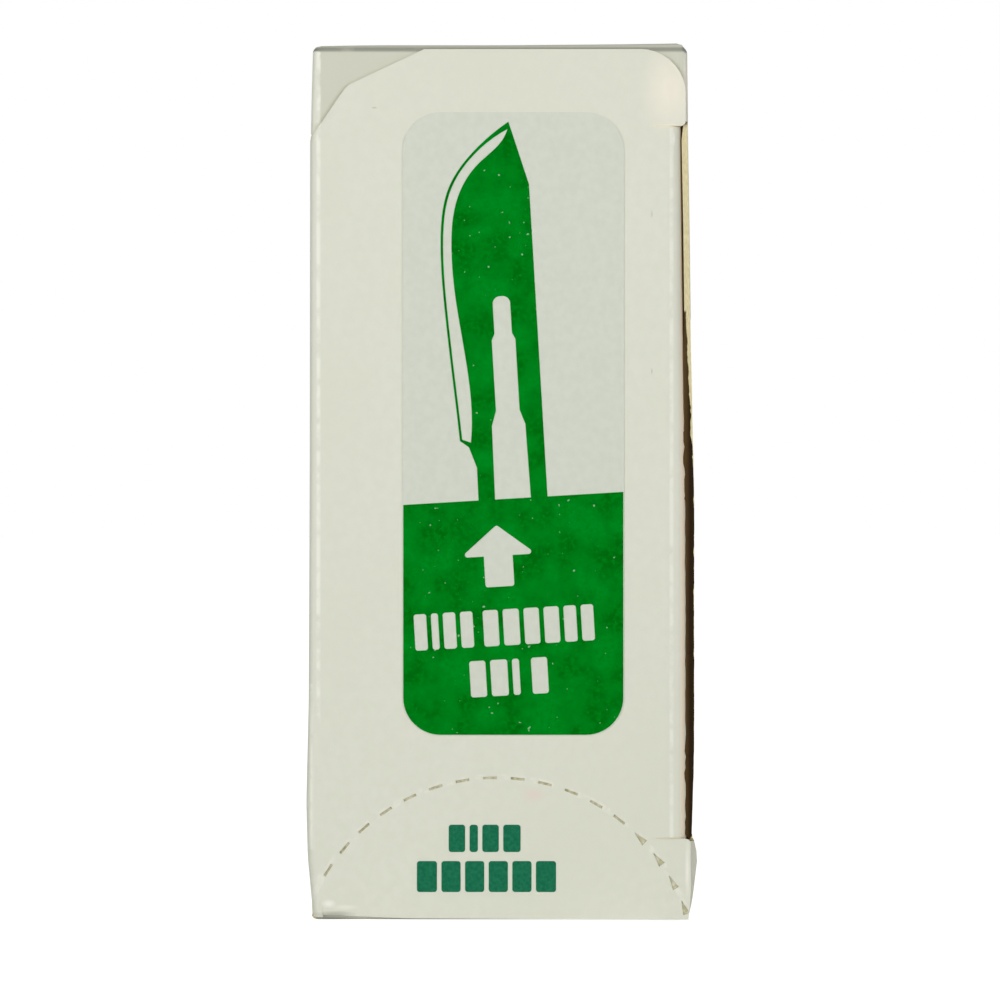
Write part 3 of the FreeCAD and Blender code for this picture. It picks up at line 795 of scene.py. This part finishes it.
# %% [markdown]
# The top wall isn't flat either. Where it folds down into the dust flap it stands up a little,
# most of all at the right, and the very corner there is crushed.

# %% Raised front of the top wall
LIFT = [(RIGHT, -0.35), (RIGHT - 0.6, -0.12), (RIGHT - 1.65, 0.4), (RIGHT - 6.0, 0.32),
        (0.0, 0.2), (-15.0, 0.2), (LEFT + 1.0, 0.1), (LEFT, 0.0)]
score(carton, "y", [WALL_EDGE + 9.0, WALL_EDGE + 3.5],
      lambda p: near(p.z, TOP) and p.y < WALL_END + 0.02)
columns = spread(SEAM + LONG_BEND, RIGHT - LONG_BEND, 3.3)[1:-1] + [RIGHT - 1.65]
score(carton, "x", columns, lambda p: near(p.z, TOP) and p.y < WALL_EDGE + 9.02)
score(carton, "x", columns,
      lambda p: p.z > TOP - END_BEND - 0.02 and p.y < WALL_EDGE + END_BEND + 0.02)
for share, depth in ((0.4, 3.6), (0.6, 0.95)):
    bow(carton, [(place, height * share) for place, height in LIFT],
        lambda p: p.z > TOP - 0.8 and p.y < WALL_EDGE + depth, "z", "x")
mend(carton)
leave_edit()
report_box(carton)

# %% [markdown]
# The sheet is still as thin as nothing. A thickness modifier grows it inwards by the card's
# thickness, paints the inside with the manila back and the cut edges with the cream plies, and
# is then applied.

# %% Thickness of the card


def thicken(piece, thickness, materials):
    """Grow the sheet inwards, with its back and its cut edges in their own materials."""
    hold(piece)
    for material in materials:
        piece.data.materials.append(material)
    shell = piece.modifiers.new("card", "SOLIDIFY")
    shell.thickness = thickness * MM
    shell.offset = -1
    shell.material_offset = 1
    shell.material_offset_rim = 2
    bpy.ops.object.modifier_apply(modifier="card")


def soften(piece):
    """Shade the bends smooth, and keep the cut edges crisp."""
    hold(piece)
    bpy.ops.object.shade_smooth_by_angle(angle=math.radians(35))
    print(piece.name, "faces", len(piece.data.polygons))


thicken(carton, CARD, BOARD)
bpy.ops.object.mode_set(mode="EDIT")
FLARE = [(UPPER_SLIT, -0.22), (72.0, -0.2), (66.0, -0.22), (62.0, -0.35), (56.0, -0.45),
         (13.0, -0.45), (9.1, -0.3)]
bow(carton, FLARE,
    lambda p: (RIGHT - CARD - 0.5 < p.x < RIGHT - 0.375 + along(RIGHT_BOW, p.z)
               and p.y < WALL_EDGE + along(FRAY, p.z) + 0.4 and 9.0 < p.z < UPPER_SLIT + 0.3), "x")
leave_edit()
soften(carton)
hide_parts("carton")
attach(carton, "carton")

# %% [markdown]
# The lid is cut from the same sheet. It starts as the flat panel with the two slits, whose ears
# stay flat while the strip between them folds over into the tuck. The left side curls round the
# fold line. Corners are trimmed only after the folding, since a straight blade is easier to lay
# over a whole sheet.

# %% Panel, ears, tuck and curl of the lid
CURL = LEFT + END_BEND
SLIT_END = EAR_EDGE - SLIT_LENGTH
HALF_SLIT = SLIT_WIDTH / 2
lid = new_sheet("lid_sheet", ((CURL + SLIT_END) / 2, FACE, (FOOT + HEAD) / 2),
                SLIT_END - CURL, HEAD - FOOT, (90, 0, 0))
LOWER_EAR, TUCK_LOW = LOWER_SLIT - HALF_SLIT, LOWER_SLIT + HALF_SLIT
TUCK_HIGH, UPPER_EAR = UPPER_SLIT - HALF_SLIT, UPPER_SLIT + HALF_SLIT
score(lid, "z", [LOWER_EAR, TUCK_LOW, TUCK_HIGH, UPPER_EAR])
for low_end, high_end in ((FOOT, LOWER_EAR), (TUCK_LOW, TUCK_HIGH), (UPPER_EAR, HEAD)):
    pick(lid, "EDGE", lambda p: near(p.x, SLIT_END) and low_end - 0.02 < p.z < high_end + 0.02)
    push_out(x=TUCK_START - SLIT_END)
    if near(low_end, TUCK_LOW):
        fold_over((TUCK_START, FACE + TUCK_BEND, 0), "z", 90 + TUCK_LEAN)
    else:
        push_out(x=EAR_EDGE - TUCK_START)
lean = math.radians(TUCK_LEAN)
end_x = TUCK_START + TUCK_BEND * math.cos(lean)
end_y = FACE + TUCK_BEND + TUCK_BEND * math.sin(lean)
pick(lid, "EDGE", lambda p: near(p.x, end_x) and near(p.y, end_y))
push_out(x=-TUCK_STRAIGHT * math.sin(lean), y=TUCK_STRAIGHT * math.cos(lean))
pick(lid, "EDGE", lambda p: near(p.x, CURL))
fold_over((CURL, FACE + END_BEND, 0), "z", -60)
print("lid faces", len(bmesh.from_edit_mesh(lid.data).faces))

# %% [markdown]
# The outline comes next: the cut corner at the upper left with its soft knee, the big round
# corner at the upper right, the small rounds of the ears and the round tips of the tuck.

# %% Outline of the lid
# The knee joins a steep run at the fold to a shallow one along the top.
KNEE = Vector((LEFT + 4.0, FACE, HEAD - 4.0))
KNEE_RADIUS = 2.5
EAR_RADIUS = 0.55
HEAD_RADIUS = 5.0
TIP_RADIUS = 4.0
steep = math.degrees(math.atan2(-5.9, 4.0))
shallow = math.degrees(math.atan2(-4.0, 8.5))
knee_turn = math.radians(shallow - steep) / 2
bisector = math.radians((steep + shallow) / 2)
inwards = Vector((math.sin(bisector), 0, math.cos(bisector)))
round_off(lid, KNEE - inwards * KNEE_RADIUS / math.cos(knee_turn), KNEE_RADIUS, "x", steep,
          shallow, lambda p: True, 5)
upper_edge = EAR_EDGE - 0.33
trim(lid, (upper_edge, FACE, HEAD), AXES["x"], lambda p: near(p.y, FACE) and p.z > UPPER_SLIT)
round_off(lid, (upper_edge - HEAD_RADIUS, FACE, HEAD - HEAD_RADIUS), HEAD_RADIUS, "x", 4, 86,
          lambda p: near(p.y, FACE), 9)
for edge, level, up, first, last in ((EAR_EDGE, LOWER_EAR, 1, 8, 82),
                                     (upper_edge, UPPER_EAR, -1, 98, 172)):
    round_off(lid, (edge - EAR_RADIUS, FACE, level - up * EAR_RADIUS), EAR_RADIUS, "x", first, last,
              lambda p: near(p.y, FACE) and (p.z - level) * up < 0.02 and p.z * up < 50, 4)
tuck_tip = end_y + TUCK_STRAIGHT * math.cos(lean)
for level, up, first, last in ((TUCK_LOW, -1, 176, 94), (TUCK_HIGH, 1, 4, 86)):
    round_off(lid, (0, tuck_tip - TIP_RADIUS, level - up * 4.6), TIP_RADIUS, "y", first, last,
              lambda p: p.y > FACE + TUCK_BEND - 0.1 and p.x > 0 and (p.z > 48) == (up > 0), 8)
score(lid, "z", spread(FOOT, HEAD, 1.6)[1:-1])
columns = [CURL + 0.25] + spread(CURL + 0.6, TUCK_START - 0.4, 1.6) + [TUCK_START - 0.2]
score(lid, "x", columns, lambda p: near(p.y, FACE))
mend(lid)
pick(lid, "FACE", lambda p: near(p.y, FACE))
front_faces = [face for face in bmesh.from_edit_mesh(lid.data).faces if face.select]
if front_faces[0].normal.y > 0:
    bpy.ops.mesh.select_all(action="SELECT")
    bpy.ops.mesh.flip_normals()
print("front faces", len(front_faces))

# %% [markdown]
# Creasing leaves a fine bead along each fold of the lid, and a knock has pressed in the lower
# left corner. The bead is a row of points pushed out a little. The knock is a soft push.

# %% Beads and the knocked corner
for column, height in ((CURL + 0.25, 0.05), (TUCK_START - 0.2, 0.06)):
    pick(lid, "VERT", lambda p: near(p.x, column) and near(p.y, FACE))
    shift(y=-height)
bow(lid, LEFT_BOW, lambda p: p.x < CURL + 0.3, "x")
bow(lid, [(height, width / 2) for height, width in LEFT_BOW],
    lambda p: CURL + 0.5 < p.x < CURL + 2.3, "x")
bow(lid, [(UPPER_SLIT + 3.0, 0.0), (UPPER_SLIT, -0.05), (UPPER_SLIT - 0.01, 0.0)],
    lambda p: p.x > SLIT_END - 0.02 and near(p.y, FACE) and p.z > UPPER_SLIT, "y")
bow(lid, [(LOWER_SLIT + 0.01, 0.0), (LOWER_SLIT, -0.03), (LOWER_SLIT - 3.0, 0.0)],
    lambda p: p.x > SLIT_END - 0.02 and near(p.y, FACE) and p.z < LOWER_SLIT, "y")
bow(lid, [(EAR_EDGE, -0.3), (10.0, -0.25), (-10.0, -0.15), (-16.0, 0.05), (CURL, 0.25)],
    lambda p: near(p.z, FOOT) and p.x > CURL - 0.02, "z", "x")
bow(lid, [(LOWER_SLIT, 0.0), (LOWER_SLIT - 0.1, 0.2), (3.0, 0.25), (FOOT, 0.0)],
    lambda p: p.x > EAR_EDGE - 0.6 and p.z < LOWER_SLIT, "x")
bow(lid, [(UPPER_SLIT, -0.22), (70.0, -0.05), (48.0, 0.35), (LOWER_SLIT, 0.45)],
    lambda p: p.x > TUCK_START + 0.05 and LOWER_SLIT < p.z < UPPER_SLIT, "x")
smooth_push(lid, lambda p: near(p.x, CURL + 3.2, 1.2) and p.z < 1.6, 3.4, 0.3)
smooth_push(lid, lambda p: near(p.x, CURL + 2.2, 0.9) and 2.0 < p.z < 3.8, 2.2, -0.12)
print("beads and knock made")

# %% [markdown]
# With its thickness on, the slits can be pressed shut, and the end edges of the tuck's bend
# rise a little, so no dark line stands between the ears and the tuck.

# %% Thickness and slits of the lid
thicken(lid, CARD, BOARD)
bpy.ops.object.mode_set(mode="EDIT")
for level, spare in ((UPPER_EAR, -0.02), (LOWER_EAR, 0.02)):
    pick(lid, "VERT", lambda p: (p.x > SLIT_END - 0.02 and p.y < FACE + 0.1
                                 and near(p.z, level, 0.01)))
    shift(z=spare)
for level, up in ((TUCK_HIGH, 1), (TUCK_LOW, -1)):
    bow(lid, [(FACE + 1.7, up * 0.24), (FACE + 0.45, up * 0.04), (FACE + 0.2, 0.0)],
        lambda p: near(p.z, level, 0.01) and FACE + 0.22 < p.y < FACE + 2.4, "z", "y")
leave_edit()
print("lid is", CARD, "mm thick")

# %% [markdown]
# The tear tab is a half moon of short cuts that don't go through the card. Two cutters are made
# once, a plain dash and a wedge for the cuts at the right that have begun to open. Copies of them
# are laid along an arc, joined, and taken out of the lid with one Boolean, which also gives the
# cuts their own bruised material.

# %% Perforation of the tear tab
CUTS = 18
OPENED_CUTS = 4
TAB_RISE = 13.1
CUT_SPREAD = 1.019


def tear_line(index):
    """Place and angle of one cut of the half-moon perforation."""
    start = Vector((EAR_EDGE - 0.5, 0, 1.5))
    end = Vector((CURL, 0, 3.8))
    half = (end - start).length / 2
    radius = (half ** 2 + TAB_RISE ** 2) / (2 * TAB_RISE)
    across = (end - start).normalized()
    centre = (start + end) / 2 - Vector((across.z, 0, -across.x)) * (radius - TAB_RISE)
    first = math.atan2(start.z - centre.z, start.x - centre.x)
    last = math.atan2(end.z - centre.z, end.x - centre.x)
    angle = first + (last - first) * index * CUT_SPREAD / (CUTS - 1)
    return centre + Vector((math.cos(angle), 0, math.sin(angle))) * radius, angle


def perforation_fibres():
    """Bottom of the perforation: bruised board with the coating broken through."""
    material, tree, shader, place = new_material("bruised_board", 0.9, 0.05)
    axes = add_node(tree, "ShaderNodeSeparateXYZ", {"Vector": place})
    patchy = mottle(tree, place, 0.4, detail=4.0)
    closed, opened = (
        add_node(tree, "ShaderNodeMix", {"Factor": patchy, "A": colour(dark), "B": colour(light)},
                 data_type="RGBA") for dark, light in (("B0AB86", "D3D0BB"), ("B9B592", "D6D4C1")))
    bruise = add_node(tree, "ShaderNodeMix", {
        "Factor": edge_of(tree, axes.outputs["X"], 8, 14), "A": closed, "B": opened},
        data_type="RGBA")
    paint(tree, shader, bruise)
    return material


def perforation_cutter(length, width, tip):
    """One cutter that lies along X at the origin. A tip under 1 makes its left end narrower."""
    bpy.ops.object.select_all(action="DESELECT")
    bpy.ops.mesh.primitive_cube_add(size=1, location=(0, 0, 0))
    cutter = bpy.context.object
    cutter.scale = (length * MM, 0.36 * MM, width * MM)
    bpy.ops.object.transform_apply(scale=True)
    bpy.ops.object.mode_set(mode="EDIT")
    pick(cutter, "VERT", lambda p: p.x < 0)
    bpy.ops.transform.resize(value=(1, 1, tip))
    leave_edit()
    return cutter


dash = perforation_cutter(1.5, 0.27, 1.0)
wedge = perforation_cutter(1.55, 0.75, 0.08)
bpy.ops.object.select_all(action="DESELECT")
for index in range(CUTS):
    place, angle = tear_line(index)
    model = wedge if index < OPENED_CUTS else dash
    cutter = model.copy()
    cutter.data = model.data.copy()
    bpy.context.scene.collection.objects.link(cutter)
    cutter.location = Vector((place.x, FACE, place.z)) * MM
    cutter.rotation_euler = (0, math.radians(90) - angle, 0)
    cutter.select_set(True)
bpy.context.view_layer.objects.active = cutter
bpy.data.objects.remove(dash)
bpy.data.objects.remove(wedge)
bpy.ops.object.transform_apply(location=True, rotation=True, scale=True)
bpy.ops.object.join()
knife = bpy.context.object
knife.data.materials.append(perforation_fibres())
hold(lid)
holes = lid.modifiers.new("perforation", "BOOLEAN")
holes.operation = "DIFFERENCE"
holes.object = knife
holes.material_mode = "TRANSFER"
bpy.ops.object.modifier_apply(modifier="perforation")
bpy.data.objects.remove(knife)
soften(lid)
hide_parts("lid")
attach(lid, "lid")

# %% [markdown]
# The fold between the left wall and the lid is the only part of the card that really bends. A
# narrow strip of coated paper covers it.

# %% Crease over the left fold
PROUD = 0.03
crease = new_sheet("fold_crease", (LEFT - PROUD, FACE + END_BEND + 0.7, (FOOT + fold_top) / 2), 1.4,
                   fold_top - FOOT, (90, 0, -90))
pick(crease, "EDGE", lambda p: near(p.y, FACE + END_BEND))
bpy.ops.mesh.spin(steps=8, angle=-math.radians(90), axis=AXES["z"],
                  center=Vector((CURL, FACE + END_BEND, 0)) * MM)
pick(crease, "EDGE", lambda p: near(p.y, FACE - PROUD, 0.004))
push_out(x=0.2, y=0.02)
score(crease, "z", spread(FOOT, fold_top, 1.2)[1:-1])
bpy.ops.mesh.select_all(action="SELECT")
bpy.ops.mesh.normals_make_consistent(inside=False)
bow(crease, LEFT_BOW, lambda p: True, "x")
thicken(crease, 0.1, BOARD)
soften(crease)
report_box(crease)
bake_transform(crease)

# %% [markdown]
# The label is smooth white paper. Its print is one flat green that was rolled on a little
# unevenly, with pinholes where dust sat on the plate. The print on the tear tab is a darker
# green straight on the card.

# %% Label paper and inks


def label_paper():
    """Matt white label paper, a little greyer than the board round it."""
    material, tree, shader, place = new_material("label_paper", 0.6, 0.2)
    paper = add_node(tree, "ShaderNodeMix", {
        "Factor": mottle(tree, place, 0.9, detail=5.0), "A": colour("D0D4C7"),
        "B": colour("CCD0C2")}, data_type="RGBA")
    paint(tree, shader, paper)
    tooth(tree, shader, place, 0.4, 4.0, 0.006)
    return material


def green_ink():
    """Green printing ink, mottled where the roller gave less, with pinholes to the paper."""
    material, tree, shader, place = new_material("green_printing_ink", 0.6, 0.0)
    ink = add_node(tree, "ShaderNodeMix", {
        "Factor": mottle(tree, place, 3.2, 0.38, 0.62, 6.0), "A": colour("00680E"),
        "B": colour("00841F")}, data_type="RGBA")
    grain = mottle(tree, place, 0.45, detail=4.0)
    ink = lay_tint(tree, ink, "007C16", grain, grain)
    ink = lay_tint(tree, ink, "7FB285", mottle(tree, place, 0.55, 0.76, 0.8, 1.0))
    paint(tree, shader, ink)
    tooth(tree, shader, place, 0.4, 4.0, 0.006)
    return material


def teal_ink():
    """Dark green ink straight on the card, grainy where the coating took less of it."""
    material, tree, shader, place = new_material("dark_green_printing_ink", 0.5, 0.05)
    ink = add_node(tree, "ShaderNodeMix", {
        "Factor": mottle(tree, place, 0.4, 0.35, 0.7, 5.0), "A": colour("0F6446"),
        "B": colour("217653")}, data_type="RGBA")
    paint(tree, shader, ink)
    return material


def coat(node, material):
    """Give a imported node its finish."""
    piece = bpy.data.objects[node]
    piece.data.materials.clear()
    piece.data.materials.append(material)


coat("blade_label", label_paper())
coat("label_print", green_ink())
coat("tab_print", teal_ink())

# %% [markdown]
# Last, the view layer is brought up to date.

# %% Finish
bpy.context.view_layer.update()
